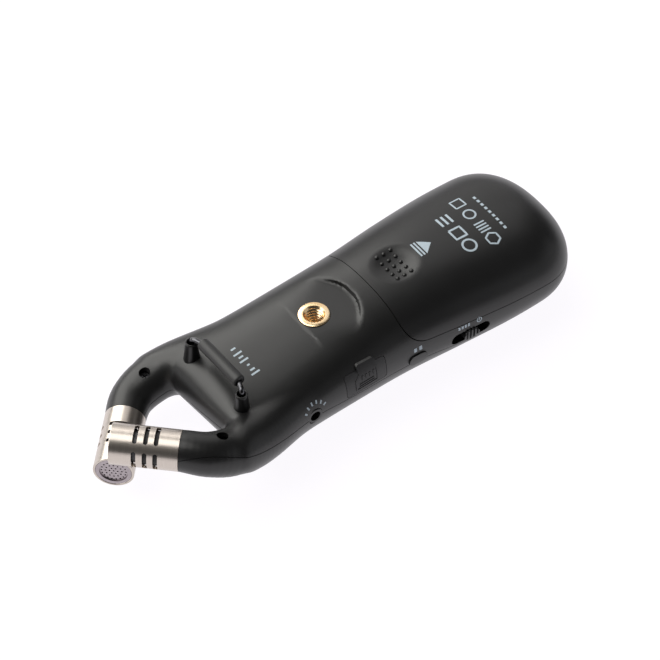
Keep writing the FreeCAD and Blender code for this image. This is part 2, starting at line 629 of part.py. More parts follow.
# ---- batteries ------------------------------------------------------------
def make_batteries():
    front_y = CELL_BACK_Y + CELL_LENGTH
    for side, label in ((-1, "left"), (1, "right")):
        x = side * CELL_X
        body = rod(x, CELL_BACK_Y, CELL_Z, CELL_RADIUS, CELL_LENGTH, (0, 1, 0))
        body = body.makeFillet(0.5, [e for e in body.Edges if e.BoundBox.YLength < 0.1])
        nub_y = front_y if side > 0 else CELL_BACK_Y - 1.0
        save("battery_%s" % label, body.fuse(rod(x, nub_y, CELL_Z, 2.7, 1.0, (0, 1, 0))))
    low, back, front = 13.0, -79.0, -21.4
    tray = box(-16.0, 16.0, back, front, low, CELL_Z)
    space = box(-15.0, 15.0, back + 1.0, front - 1.0, low + 1.1, CELL_Z + 1)
    save("battery_tray", tray.cut(space))
    plates, springs = [], []
    for side in (-1, 1):
        x = side * CELL_X
        end_y = front - 1.05
        plates.append(box(x - 5, x + 5, end_y - 0.35, end_y, 15.0, CELL_Z + 4))
        plates.append(box(x - 5, x + 5, back + 1.05, back + 1.4, 15.0, CELL_Z + 4))
        if side < 0:
            springs.append(spring(x, front_y + 0.02, end_y - 0.35, 1))
        else:
            springs.append(spring(x, back + 1.4, CELL_BACK_Y - 0.02, -1))
    save("battery_contacts", group(plates))
    save("battery_springs", group(springs))


def spring(x, y0, y1, turn):
    """Short coil spring that presses on a cell's flat end."""
    rings = []
    count = 3
    pitch = (y1 - y0 - 0.5) / (count - 1)
    for i in range(count):
        ring = Part.makeTorus(3.4, 0.22, Vector(x, y0 + 0.25 + i * pitch, CELL_Z), Vector(0, 1, 0))
        rings.append(ring)
    for i in range(count - 1):
        side = turn if i % 2 else -turn
        rings.append(rod(x + side * 3.4, y0 + 0.25 + i * pitch, CELL_Z, 0.2, pitch, (0, 1, 0)))
    return fused(rings)


# the ends of the tail and of the microphones lie equally far from the origin
TAIL_END_Y = TAIL_Y + 0.01 * TAIL_ROUND
MIC_END_Y = MIC_ROOT_Y + (MIC_LENGTH + MIC_RADIUS) * DIAGONAL
MIDDLE_SHIFT = -(TAIL_END_Y + MIC_END_Y) / 2

make_housings()
make_mics()
make_leads()
make_bail()
make_socket()
make_screws()
make_boards()
make_display()
make_front_keys()
make_side_keys()
make_slider()
make_ports()
make_card_door()
make_speaker()
make_batteries()
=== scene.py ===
import math

import bmesh
import bpy
import numpy as np
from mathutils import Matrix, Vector


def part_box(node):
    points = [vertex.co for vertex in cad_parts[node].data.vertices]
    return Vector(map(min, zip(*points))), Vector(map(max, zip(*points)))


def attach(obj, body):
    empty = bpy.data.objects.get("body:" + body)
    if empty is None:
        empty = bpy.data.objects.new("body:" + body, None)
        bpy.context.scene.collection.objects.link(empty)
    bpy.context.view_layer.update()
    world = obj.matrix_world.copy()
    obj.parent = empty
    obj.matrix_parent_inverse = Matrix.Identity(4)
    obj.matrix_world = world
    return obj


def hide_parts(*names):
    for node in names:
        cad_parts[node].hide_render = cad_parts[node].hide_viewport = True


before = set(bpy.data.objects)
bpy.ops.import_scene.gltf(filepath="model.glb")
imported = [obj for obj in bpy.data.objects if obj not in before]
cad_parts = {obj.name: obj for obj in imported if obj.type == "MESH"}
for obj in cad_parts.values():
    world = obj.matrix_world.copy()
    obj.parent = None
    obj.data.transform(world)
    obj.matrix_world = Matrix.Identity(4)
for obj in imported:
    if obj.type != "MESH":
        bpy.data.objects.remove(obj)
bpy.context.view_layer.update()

# Lengths in this script are in millimetres until a mesh is made. Y is counted from the
# tripod socket's axis; the frame says where that axis lies.
MM = 0.001
low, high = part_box("tripod_insert")
SOCKET_Y = (low.y + high.y) / 2 / MM
INSERT_TOP_Z = high.z / MM
INSERT_LOW_Z = low.z / MM

# ---- outer form, the same driving numbers as the CAD shells ----------------
TAIL_Y, HEAD_Y = -89.67, 43.5
TAIL_ROUND, HEAD_ROUND = 19.8, 9.0
CHIN_LENGTH, CHIN_POWER = 15.0, 1.35
ROUND_POWER = 2.4
WIDE_Z = 16.55
UPPER_POWER, LOWER_POWER = 2.37, 2.0
KEEL_Z = -1.5
WALL = 1.8
HALF_WIDTH_AT = [(-95, 25.0), (-80, 25.3), (-60, 25.6), (-40, 24.3), (-20, 22.7),
                 (0, 22.7), (20, 23.3), (32, 24.6), (40, 25.6), (52, 26.6)]
CROWN_AT = [(-95, 30.2), (-70, 31.8), (-40, 33.6), (-15, 32.8), (0, 31.3),
            (20, 28.8), (40, 26.3), (52, 24.8)]
LEAN_AT = [(-100, 0.0), (18, 0.0), (30, 0.005), (37, 0.04), (44, 0.14), (60, 0.22)]
DIAGONAL = math.sqrt(0.5)
MIC_ROOT = (14.87, 60.48)
MIC_HIGH_Z, MIC_LOW_Z = 24.75, 11.0
ARM_OVERRUN = 5
ARM_POINTS = [(12.5, 14.0, 4.0, 15.8, 14.2), (19.4, 32.0, 6.4, 17.4, 13.5),
              (21.4, 45.5, 7.35, 20.2, 12.6), (19.9, 54.2, 6.8, 23.3, 11.3),
              (MIC_ROOT[0], MIC_ROOT[1], 6.3, MIC_HIGH_Z, MIC_LOW_Z)]
SHOULDER_BLEND, CROTCH_BLEND = 6.0, 2.2
PARTING_AT = [(-100, 8.4), (-70, 9.6), (-45, 11.6), (-25, 14.2), (0, 15.05),
              (20, 16.4), (45, 16.9), (60, 17.9), (95, 17.9)]
PARTING_SLOPE_AT = [(-100, 0.0), (-45, 0.0), (0, 0.0), (18, 0.03), (30, 0.1),
                    (45, 0.24), (60, 0.458), (95, 0.458)]
SOCKET_FLAT_Z, SOCKET_FLAT_RADIUS = 30.8, 14.0
INSERT_RADIUS = 5.0
COVER_FRONT_Y, COVER_EDGE_Z, COVER_TAIL_EDGE_Z = -19.5, 21.4, 17.4
DISH_Y, DISH_RADIUS, DISH_DEPTH = -30.6, 7.55, 1.5
DISH_SPHERE = (DISH_RADIUS ** 2 + DISH_DEPTH ** 2) / (2 * DISH_DEPTH)
FLAT_BLEND, DISH_BLEND, NOSE_BLEND, FACE_BLEND = 0.9, 0.6, 1.5, 1.2
FLOOR_WALL, UNDER_DISH_WALL, SOCKET_WALL = 1.6, 1.2, 2
UNDER_FLAT_Z, BOSS_LOW_Z = 28.7, 19.3
FAR = 60.0
JACK_Y, JACK_Z = 16.9, 17.2
SEAM = 0.22
# side wall openings: lowest and highest y, lowest and highest z, corner radius
DOOR_RECESS = (-10.8, 4.6, 15.75, 24.0, 1.0)
CARD_HOLE = (-8.3, 3.3, 16.7, 18.4, 0.3)
SIDE_KEY_HOLE = (-25.9, -19.1, 13.7, 17.9, 2.09)
SLIDER_HOLE = (-48.9, -34.9, 13.1, 17.7, 2.29)
PORT_HOLE = (-24.7, -15.3, 15.1, 18.7, 1.7)
DOOR_SEAT_DEPTH = 1.25
VOLUME_KEYS_Y, VOLUME_HALF_LENGTH = (2.0, -7.0), 3.35
ARM_SCREW_AT, ARM_SCREW_HOLE = (20.3, 49.2), 1.78


def lookup(y, stations):
    """Value at y on a smooth curve through the (y, value) stations."""
    ys, vs = (np.array(column, float) for column in zip(*stations))
    y = np.clip(y, ys[0], ys[-1])
    slopes = np.empty(len(ys))
    slopes[1:-1] = (vs[2:] - vs[:-2]) / (ys[2:] - ys[:-2])
    slopes[0] = (vs[1] - vs[0]) / (ys[1] - ys[0])
    slopes[-1] = (vs[-1] - vs[-2]) / (ys[-1] - ys[-2])
    i = np.clip(np.searchsorted(ys, y, side="right") - 1, 0, len(ys) - 2)
    step = ys[i + 1] - ys[i]
    t = (y - ys[i]) / step
    return (vs[i] * (1 + 2 * t) * (1 - t) ** 2 + vs[i + 1] * t * t * (3 - 2 * t)
            + slopes[i] * step * t * (1 - t) ** 2 - slopes[i + 1] * step * t * t * (1 - t))


DISH_CENTRE_Z = float(lookup(DISH_Y, CROWN_AT)) - DISH_DEPTH + DISH_SPHERE


def smooth_min(a, b, width):
    mix = np.clip(0.5 + 0.5 * (b - a) / width, 0, 1)
    return b * (1 - mix) + a * mix - width * mix * (1 - mix)


def smooth_max(a, b, width):
    return -smooth_min(-a, -b, width)


def body_level(x, y, z):
    """Zero on the body's surface, negative inside; its head end is left open."""
    run = np.clip((TAIL_Y + TAIL_ROUND - y) / TAIL_ROUND, 0, 0.9995)
    shrink = (1 - run ** ROUND_POWER) ** 0.43
    beyond = np.maximum((TAIL_Y + TAIL_ROUND - y) / TAIL_ROUND - 0.9995, 0)
    half = lookup(y, HALF_WIDTH_AT) * shrink
    middle = WIDE_Z - x * lookup(y, LEAN_AT)
    above = z > middle
    power = np.where(above, UPPER_POWER, LOWER_POWER)
    height = np.where(above, lookup(y, CROWN_AT) - WIDE_Z, WIDE_Z - KEEL_Z) * shrink
    reach = (np.abs(x / half) ** power + np.abs((z - middle) / height) ** power) ** (1 / power)
    return (reach - 1) * shrink + beyond * 8


def nose_level(x, y, z):
    """Rolls the head end over from the crown to the underside."""
    run = np.maximum((y - HEAD_Y + HEAD_ROUND) / HEAD_ROUND, 0)
    middle = WIDE_Z - x * lookup(y, LEAN_AT)
    rise = np.abs(z - middle) / (lookup(y, CROWN_AT) - WIDE_Z)
    fall = np.abs(z - middle) / (WIDE_Z - KEEL_Z)
    run_below = np.maximum((y - HEAD_Y + CHIN_LENGTH) / CHIN_LENGTH, 0)
    above = (run ** ROUND_POWER + rise ** ROUND_POWER) ** (1 / ROUND_POWER)
    below = (run_below ** CHIN_POWER + fall ** CHIN_POWER) ** (1 / CHIN_POWER)
    return np.where(z > middle, above, below) - 1


def distance_to(level, x, y, z, step=0.02):
    """First-order distance to a level function's zero surface."""
    value = level(x, y, z)
    gx = (level(x + step, y, z) - level(x - step, y, z)) / (2 * step)
    gy = (level(x, y + step, z) - level(x, y - step, z)) / (2 * step)
    gz = (level(x, y, z + step) - level(x, y, z - step)) / (2 * step)
    return value / np.maximum(np.sqrt(gx * gx + gy * gy + gz * gz), 1e-4)


def arm_line(side, count=33):
    """Points and radii along an arm's centre line, which ends straight into its microphone."""
    height = 3 if side < 0 else 4
    points = np.array([(side * p[0], p[1], p[height], p[2]) for p in ARM_POINTS])
    run = np.concatenate([[0], np.cumsum(np.linalg.norm(np.diff(points[:, :3], axis=0), axis=1))])
    slopes = np.zeros_like(points)
    slopes[1:-1] = (points[2:] - points[:-2]) / (run[2:] - run[:-2])[:, None]
    slopes[0] = (points[1] - points[0]) / run[1]
    slopes[-1] = (-side * DIAGONAL, DIAGONAL, 0, (points[-1, 3] - points[-2, 3]) / (run[-1] - run[-2]))
    along = np.linspace(0, run[-1], count)
    i = np.clip(np.searchsorted(run, along, side="right") - 1, 0, len(run) - 2)
    step = (run[i + 1] - run[i])[:, None]
    t = (along - run[i])[:, None] / step
    line = (points[i] * (1 + 2 * t) * (1 - t) ** 2 + points[i + 1] * t * t * (3 - 2 * t)
            + slopes[i] * step * t * (1 - t) ** 2 - slopes[i + 1] * step * t * t * (1 - t))
    past_end = line[-1] + np.array([-side * DIAGONAL, DIAGONAL, 0, 0]) * ARM_OVERRUN
    past_end[3] = line[-1, 3]
    return np.vstack([line, past_end])


ARM_LINES = [arm_line(-1), arm_line(1)]


def arm_distance(x, y, z):
    """Distance to the nearer arm's round surface."""
    nearest = np.full(np.shape(x), FAR)
    for line in ARM_LINES:
        for (ax, ay, az, ar), (bx, by, bz, br) in zip(line[:-1], line[1:]):
            dx, dy, dz = bx - ax, by - ay, bz - az
            t = ((x - ax) * dx + (y - ay) * dy + (z - az) * dz) / (dx * dx + dy * dy + dz * dz)
            t = np.clip(t, 0, 1)
            gap = np.sqrt((x - ax - t * dx) ** 2 + (y - ay - t * dy) ** 2 + (z - az - t * dz) ** 2)
            nearest = np.minimum(nearest, gap - ar - (br - ar) * t)
    return nearest


def form_distance(x, y, z):
    """Distance to the outside of the body and arms in one, with a soft front face at z = 0."""
    body = distance_to(body_level, x, y, z)
    arms = np.full(np.shape(x), FAR)
    near = y > 5
    arms[near] = arm_distance(x[near], y[near], z[near])
    nose = distance_to(nose_level, x[near], y[near], z[near])
    nose = np.maximum(nose, y[near] - HEAD_Y - 1)
    body[near] = smooth_max(body[near], nose, NOSE_BLEND)
    outwards = np.clip((np.abs(x) - 12) / 8, 0, 1)
    blend = CROTCH_BLEND + (SHOULDER_BLEND - CROTCH_BLEND) * outwards * outwards * (3 - 2 * outwards)
    return smooth_max(smooth_min(body, arms, blend), -z, FACE_BLEND)


def dish_distance(x, y, z):
    """Distance to the sphere that hollows out the finger dish."""
    return np.sqrt(x * x + (y - DISH_Y) ** 2 + (z - DISH_CENTRE_Z) ** 2) - DISH_SPHERE


def outside_distance(x, y, z):
    """The finished outside: the socket's sunk flat and the finger dish are taken away."""
    form = form_distance(x, y, z)
    flat = smooth_max(np.hypot(x, y) - SOCKET_FLAT_RADIUS, SOCKET_FLAT_Z - z, FLAT_BLEND)
    return smooth_max(smooth_max(form, -flat, FLAT_BLEND), -dish_distance(x, y, z), DISH_BLEND)


def inside_distance(x, y, z):
    """The hollow of the shells, thicker under the flat, the socket and the dish."""
    form = form_distance(x, y, z) + WALL
    from_axis = np.hypot(x, y)
    under_flat = np.maximum(from_axis - SOCKET_FLAT_RADIUS - SOCKET_WALL, UNDER_FLAT_Z - z)
    boss = np.maximum(from_axis - INSERT_RADIUS - SOCKET_WALL, BOSS_LOW_Z - z)
    under_dish = dish_distance(x, y, z) - UNDER_DISH_WALL
    hollow = np.maximum(form, FLOOR_WALL - z)
    for filled in (under_flat, boss, under_dish):
        hollow = np.maximum(hollow, -filled)
    return hollow


# ---- mesh tools --------------------------------------------------------------
def to_mesh_object(name, points, faces, smooth=True):
    """New object from points in millimetres."""
    points = np.asarray(points, float).copy()
    points[:, 1] += SOCKET_Y
    mesh = bpy.data.meshes.new(name)
    mesh.from_pydata((points * MM).tolist(), [], [list(map(int, f)) for f in faces])
    mesh.validate()
    made = bpy.data.objects.new(name, mesh)
    bpy.context.scene.collection.objects.link(made)
    if smooth:
        mesh.shade_smooth()
    return made


def net_surface(distance, lowest, highest, cell):
    """Closed mesh of the zero surface of a distance function, one point per crossed cell."""
    lowest = np.array(lowest, float)
    count = np.ceil((np.array(highest) - lowest) / cell).astype(int) + 1
    axes = [lowest[k] + cell * np.arange(count[k]) for k in range(3)]
    x, y, z = np.meshgrid(*axes, indexing="ij")
    value = distance(x, y, z)
    inside = value < 0
    corners = [(i, j, k) for i in (0, 1) for j in (0, 1) for k in (0, 1)]
    total = sum(inside[i:count[0] - 1 + i, j:count[1] - 1 + j, k:count[2] - 1 + k].astype(int)
                for i, j, k in corners)
    crossed = (total > 0) & (total < 8)
    index = np.full(crossed.shape, -1)
    index[crossed] = np.arange(crossed.sum())
    cells = np.argwhere(crossed)
    place, weight = np.zeros((len(cells), 3)), np.zeros(len(cells))
    for a in corners:
        for b in corners:
            if sum(b) - sum(a) != 1 or any(q < p for p, q in zip(a, b)):
                continue
            va, vb = value[tuple((cells + a).T)], value[tuple((cells + b).T)]
            cut = (va < 0) != (vb < 0)
            t = np.where(cut, va / np.where(cut, va - vb, 1), 0)
            place += np.where(cut[:, None], np.array(a) + np.outer(t, np.array(b) - a), 0)
            weight += cut
    points = settle(lowest + cell * (cells + place / weight[:, None]), distance)
    quads = []
    for axis, (u, v) in enumerate(((1, 2), (2, 0), (0, 1))):
        here, there = [slice(None)] * 3, [slice(None)] * 3
        here[axis], there[axis] = slice(0, -1), slice(1, None)
        at = np.argwhere(inside[tuple(here)] != inside[tuple(there)])
        ring = []
        for du, dv in ((0, 0), (1, 0), (1, 1), (0, 1)):
            cell_at = at.copy()
            cell_at[:, u] -= du
            cell_at[:, v] -= dv
            ring.append(index[tuple(cell_at.T)])
        ring = np.stack(ring, 1)
        leaving = inside[tuple(at.T)]
        ring[~leaving] = ring[~leaving][:, ::-1]
        quads.append(ring)
    return points, np.concatenate(quads)


def settle(points, distance, steps=3, reach=0.25):
    """Moves points on to the zero surface along its gradient."""
    eps = 0.02
    for _ in range(steps):
        x, y, z = points.T
        value = distance(x, y, z)
        slope = np.stack([
            distance(x + eps, y, z) - distance(x - eps, y, z),
            distance(x, y + eps, z) - distance(x, y - eps, z),
            distance(x, y, z + eps) - distance(x, y, z - eps)], 1) / (2 * eps)
        size = np.maximum((slope ** 2).sum(1), 0.05)
        move = -slope * (value / size)[:, None]
        length = np.linalg.norm(move, axis=1)
        points = points + move * np.minimum(1, reach / np.maximum(length, 1e-9))[:, None]
    return points


def boolean(target, cutter, operation, keep_cutter=False):
    """Applies one boolean and frees the cutter."""
    step = target.modifiers.new("cut", "BOOLEAN")
    step.operation = operation
    step.solver = "MANIFOLD"
    step.object = cutter
    seen = target.evaluated_get(bpy.context.evaluated_depsgraph_get())
    result = bpy.data.meshes.new_from_object(seen)
    target.modifiers.clear()
    old = target.data
    target.data = result
    bpy.data.meshes.remove(old)
    if not keep_cutter:
        bpy.data.objects.remove(cutter)
    return target


def keep_largest(made):
    """Drops every loose piece of a mesh but the one with the most points."""
    count = len(made.data.vertices)
    edges = np.empty(2 * len(made.data.edges), int)
    made.data.edges.foreach_get("vertices", edges)
    a, b = edges.reshape(-1, 2).T
    label = np.arange(count)
    while True:
        lowest = np.minimum(label[a], label[b])
        merged = label.copy()
        np.minimum.at(merged, a, lowest)
        np.minimum.at(merged, b, lowest)
        merged = merged[merged]
        if (merged == label).all():
            break
        label = merged
    largest = np.bincount(label).argmax()
    mesh = bmesh.new()
    mesh.from_mesh(made.data)
    loose = [v for v, kept in zip(mesh.verts, label == largest) if not kept]
    bmesh.ops.delete(mesh, geom=loose, context="VERTS")
    mesh.to_mesh(made.data)
    mesh.free()
    return made


def copy_of(source, name):
    made = bpy.data.objects.new(name, source.data.copy())
    bpy.context.scene.collection.objects.link(made)
    return made


def slab(name, xs, ys, height, bottom, to_side=False):
    """Closed solid from a flat bottom up to height(x, y); to_side turns its top to face -X."""
    grid_x, grid_y = np.meshgrid(xs, ys, indexing="ij")
    top = np.stack([grid_x, grid_y, height(grid_x, grid_y)], -1).reshape(-1, 3)
    base = top.copy()
    base[:, 2] = bottom
    nx, ny, n = len(xs), len(ys), len(top)
    faces = []
    for i in range(nx - 1):
        for j in range(ny - 1):
            a, b, c, d = i * ny + j, (i + 1) * ny + j, (i + 1) * ny + j + 1, i * ny + j + 1
            faces += [(a, b, c, d), (n + d, n + c, n + b, n + a)]
    for i in range(nx - 1):
        a, b = i * ny, (i + 1) * ny
        faces += [(a, n + a, n + b, b), (b + ny - 1, n + b + ny - 1, n + a + ny - 1, a + ny - 1)]
    for j in range(ny - 1):
        a, b = j, j + 1
        faces += [(b, n + b, n + a, a), ((nx - 1) * ny + a, n + (nx - 1) * ny + a,
                                         n + (nx - 1) * ny + b, (nx - 1) * ny + b)]
    points = np.vstack([top, base])
    if to_side:
        points = points[:, [2, 1, 0]] * (-1, 1, 1)
    return to_mesh_object(name, points, faces, smooth=False)


def prism(name, outline, axis, start, end):
    """Closed solid from an outline of (u, v) points pushed along one axis."""
    rows = []
    for level in (start, end):
        for u, v in outline:
            rows.append({"x": (level, u, v), "y": (u, level, v), "z": (u, v, level)}[axis])
    n = len(outline)
    faces = [tuple(range(n))[::-1], tuple(range(n, 2 * n))]
    faces += [(i, (i + 1) % n, n + (i + 1) % n, n + i) for i in range(n)]
    if axis == "y":
        faces = [f[::-1] for f in faces]
    if end < start:
        faces = [f[::-1] for f in faces]
    return to_mesh_object(name, rows, faces, smooth=False)


def circle(u, v, radius, count=48):
    angles = [2 * math.pi * i / count for i in range(count)]
    return [(u + radius * math.cos(a), v + radius * math.sin(a)) for a in angles]


def round_rectangle(u0, u1, v0, v1, radius, count=8):
    corners = [(u1 - radius, v1 - radius, 0), (u0 + radius, v1 - radius, 90),
               (u0 + radius, v0 + radius, 180), (u1 - radius, v0 + radius, 270)]
    points = []
    for cu, cv, turn in corners:
        for i in range(count + 1):
            angle = math.radians(turn + 90 * i / count)
            points.append((cu + radius * math.cos(angle), cv + radius * math.sin(angle)))
    return points


def lathe(profile, count=96):
    """Points and faces turned about Z from (radius, z) points; a zero radius closes the solid."""
    points, rings = [], []
    for radius, z in profile:
        if radius <= 1e-9:
            rings.append([len(points)])
            points.append((0.0, 0.0, z))
        else:
            rings.append(list(range(len(points), len(points) + count)))
            points += [(u, v, z) for u, v in circle(0.0, 0.0, radius, count)]
    faces = []
    for a, b in zip(rings, rings[1:] + rings[:1]):
        for i in range(count):
            j = (i + 1) % count
            quad = [a[i % len(a)], a[j % len(a)], b[j % len(b)], b[i % len(b)]]
            face = list(dict.fromkeys(quad))
            if len(face) > 2:
                faces.append(face)
    return points, faces


def place(points, rotation, offset):
    """Points turned by a 3 x 3 rotation and moved."""
    return np.asarray(points, float) @ np.array(rotation).T + np.array(offset, float)


def sweep(route, radius, count=20):
    """Tube with closed ends along a list of points; returns points and faces."""
    route = np.asarray(route, float)
    tangent = np.gradient(route, axis=0)
    tangent /= np.linalg.norm(tangent, axis=1)[:, None]
    radii = np.broadcast_to(radius, len(route))
    across = np.cross(tangent[0], (0.0, 0.3, 1.0))
    across /= np.linalg.norm(across)
    points = []
    for p, t, r in zip(route, tangent, radii):
        across = across - t * (across @ t)
        across /= np.linalg.norm(across)
        other = np.cross(t, across)
        for i in range(count):
            angle = 2 * math.pi * i / count
            points.append(p + r * (math.cos(angle) * across + math.sin(angle) * other))
    faces = []
    for k in range(len(route) - 1):
        for i in range(count):
            j = (i + 1) % count
            a, b = k * count, (k + 1) * count
            faces.append((a + i, a + j, b + j, b + i))
    faces.append(tuple(range(count))[::-1])
    faces.append(tuple(range((len(route) - 1) * count, len(route) * count)))
    return np.array(points), faces


def arc_route(corners, share=0.45, steps=8):
    """Straight runs with rounded corners as a list of points."""
    corners = [np.array(c, float) for c in corners]
    route = [corners[0]]
    for before, corner, after in zip(corners, corners[1:], corners[2:]):
        cut = share * min(np.linalg.norm(before - corner), np.linalg.norm(after - corner))
        a = corner + (before - corner) / np.linalg.norm(before - corner) * cut
        b = corner + (after - corner) / np.linalg.norm(after - corner) * cut
        for i in range(steps + 1):
            t = i / steps
            route.append(a * (1 - t) ** 2 + corner * 2 * t * (1 - t) + b * t * t)
    route.append(corners[-1])
    return np.array(route)


def crease(made, degrees):
    """Smooth shading with sharp edges where faces meet at more than the given angle."""
    made.data.shade_smooth()
    made.data.set_sharp_from_angle(angle=math.radians(degrees))
    return made


def finish_piece(made, body, material, slot, *nodes):
    """Rides, finish and the CAD nodes that the piece stands for."""
    made.data.materials.clear()
    made.data.materials.append(material)
    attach(made, body)
    if nodes:
        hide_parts(*nodes)
    return made


# ---- materials -----------------------------------------------------------------
class Nodes:
    """Small helper that builds a node material."""

    def __init__(self, name):
        self.material = bpy.data.materials.new(name)
        self.material.use_nodes = True
        self.tree = self.material.node_tree
        self.shader = self.tree.nodes["Principled BSDF"]
        self.coords = self.tree.nodes.new("ShaderNodeTexCoord")

    def add(self, kind, **values):
        node = self.tree.nodes.new(kind)
        for key, value in values.items():
            if key in node.inputs:
                node.inputs[key].default_value = value
            else:
                setattr(node, key, value)
        return node

    def link(self, source, target):
        self.tree.links.new(source, target)

    def set(self, **values):
        for key, value in values.items():
            self.shader.inputs[key.replace("_", " ")].default_value = value

    def noise(self, scale, detail=3.0, stretch=(1, 1, 1), turn=0.0):
        """Noise texture in cells per metre, turned about Z and then stretched."""
        turned = self.add("ShaderNodeMapping")
        turned.inputs["Rotation"].default_value = (0, 0, turn)
        self.link(self.coords.outputs["Object"], turned.inputs["Vector"])
        stretched = self.add("ShaderNodeMapping")
        stretched.inputs["Scale"].default_value = stretch
        self.link(turned.outputs["Vector"], stretched.inputs["Vector"])
        texture = self.add("ShaderNodeTexNoise", Scale=scale, Detail=detail)
        self.link(stretched.outputs["Vector"], texture.inputs["Vector"])
        return texture.outputs["Fac"]

    def ramp(self, source, stops):
        ramp = self.add("ShaderNodeValToRGB")
        elements = ramp.color_ramp.elements
        while len(elements) < len(stops):
            elements.new(0.5)
        for element, (place_at, colour) in zip(elements, stops):
            element.position = place_at
            element.color = (*colour, 1) if len(colour) == 3 else colour
        self.link(source, ramp.inputs["Fac"])
        return ramp.outputs["Color"]

    def span(self, source, low, high):
        node = self.add("ShaderNodeMapRange")
        node.inputs["To Min"].default_value = low
        node.inputs["To Max"].default_value = high
        self.link(source, node.inputs["Value"])
        return node.outputs["Result"]

    def bump(self, source, strength, distance):
        node = self.add("ShaderNodeBump", Strength=strength, Distance=distance)
        self.link(source, node.inputs["Height"])
        self.link(node.outputs["Normal"], self.shader.inputs["Normal"])


def moulded(name, dark, light, rough, grain=2600.0, strength=0.25, specular=0.5):
    """Moulded plastic or rubber: fine spark-eroded grain, faint clouding, uneven gloss."""
    n = Nodes(name)
    n.set(Specular_IOR_Level=specular)
    cloud = n.noise(28.0, 4.0)
    n.link(n.ramp(cloud, [(0.3, dark), (0.7, light)]), n.shader.inputs["Base Color"])
    n.link(n.span(n.noise(160.0, 3.0), rough - 0.035, rough + 0.035), n.shader.inputs["Roughness"])
    n.bump(n.noise(grain, 2.0), strength, 0.00004)
    return n.material


def metal(name, dark, light, rough, stretch=(1, 1, 1), turn=0.0, grain=900.0, strength=0.08):
    """Worked metal: fine lines along one direction and slight tone changes."""
    n = Nodes(name)
    n.set(Metallic=1.0)
    lines = n.noise(grain, 2.0, stretch, turn)
    n.link(n.ramp(lines, [(0.3, dark), (0.7, light)]), n.shader.inputs["Base Color"])
    n.link(n.span(lines, rough - 0.04, rough + 0.05), n.shader.inputs["Roughness"])
    n.bump(lines, strength, 0.00003)
    return n.material


def banded(name, stops, low_y, high_y, rough):
    """Cell wrap: colour bands along Y with fine print-like speckle."""
    n = Nodes(name)
    split = n.add("ShaderNodeSeparateXYZ")
    n.link(n.coords.outputs["Object"], split.inputs["Vector"])
    along = n.add("ShaderNodeMapRange")
    along.inputs["From Min"].default_value = low_y
    along.inputs["From Max"].default_value = high_y
    n.link(split.outputs["Y"], along.inputs["Value"])
    bands = n.ramp(along.outputs["Result"], stops)
    n.tree.nodes[-1].color_ramp.interpolation = "CONSTANT"
    n.link(bands, n.shader.inputs["Base Color"])
    n.link(n.span(n.noise(220.0), rough - 0.05, rough + 0.08), n.shader.inputs["Roughness"])
    n.bump(n.noise(500.0), 0.1, 0.00003)
    return n.material


def laminate(name):
    """Circuit board: solder mask over a blocky trace pattern."""
    n = Nodes(name)
    bricks = n.add("ShaderNodeTexBrick", Scale=260.0)
    n.link(n.coords.outputs["Object"], bricks.inputs["Vector"])
    bricks.inputs["Color1"].default_value = (0.012, 0.09, 0.04, 1)
    bricks.inputs["Color2"].default_value = (0.018, 0.12, 0.05, 1)
    bricks.inputs["Mortar"].default_value = (0.03, 0.2, 0.08, 1)
    n.link(bricks.outputs["Color"], n.shader.inputs["Base Color"])
    n.link(n.span(n.noise(300.0), 0.25, 0.4), n.shader.inputs["Roughness"])
    n.bump(bricks.outputs["Fac"], 0.15, 0.00004)
    return n.material


housing_plastic = moulded("housing_plastic", (0.0065, 0.0065, 0.0066), (0.008, 0.008, 0.0082), 0.36)
cover_plastic = moulded("cover_plastic", (0.0065, 0.0065, 0.0068), (0.008, 0.008, 0.0084), 0.35)
side_key_plastic = moulded("side_key_plastic", (0.007, 0.007, 0.0075), (0.009, 0.009, 0.0095), 0.38)
key_plastic = moulded("key_plastic", (0.05, 0.05, 0.052), (0.065, 0.065, 0.068), 0.32, 1800.0, 0.12)
record_plastic = moulded("record_plastic", (0.35, 0.012, 0.012), (0.45, 0.018, 0.016),
                         0.32, 1800.0, 0.12)
door_rubber = moulded("door_rubber", (0.008, 0.008, 0.009), (0.011, 0.011, 0.012), 0.5, 3200.0, 0.35)
grip_rubber = moulded("grip_rubber", (0.012, 0.012, 0.0125), (0.016, 0.016, 0.0165), 0.48, 2400.0, 0.3)
post_rubber = moulded("post_rubber", (0.003, 0.003, 0.0035), (0.005, 0.005, 0.0055), 0.34, 2400.0, 0.2)
holder_rubber = moulded("holder_rubber", (0.008, 0.008, 0.009), (0.014, 0.014, 0.015), 0.6, 3000.0, 0.4)
jack_plastic = moulded("jack_plastic", (0.010, 0.010, 0.011), (0.015, 0.015, 0.016), 0.4)
chip_plastic = moulded("chip_plastic", (0.012, 0.012, 0.012), (0.02, 0.02, 0.02), 0.5)
card_plastic = moulded("card_plastic", (0.012, 0.012, 0.015), (0.018, 0.018, 0.022), 0.45)
print_ink = moulded("print_ink", (0.36, 0.43, 0.49), (0.44, 0.52, 0.58), 0.5, 2600.0, 0.1)
lead_plastic = moulded("lead_plastic", (0.02, 0.02, 0.02), (0.03, 0.03, 0.03), 0.4)
module_plastic = moulded("module_plastic", (0.10, 0.115, 0.105), (0.13, 0.15, 0.135), 0.3)
lamp_plastic = moulded("lamp_plastic", (0.3, 0.01, 0.01), (0.4, 0.02, 0.015), 0.2, 900.0, 0.05)
mic_metal_left = metal("mic_metal_left", (0.53, 0.475, 0.425), (0.60, 0.545, 0.495), 0.30,
                       (30, 1, 1), math.radians(-45), 300.0, 0.05)
mic_metal_right = metal("mic_metal_right", (0.53, 0.475, 0.425), (0.60, 0.545, 0.495), 0.30,
                        (30, 1, 1), math.radians(45), 300.0, 0.05)
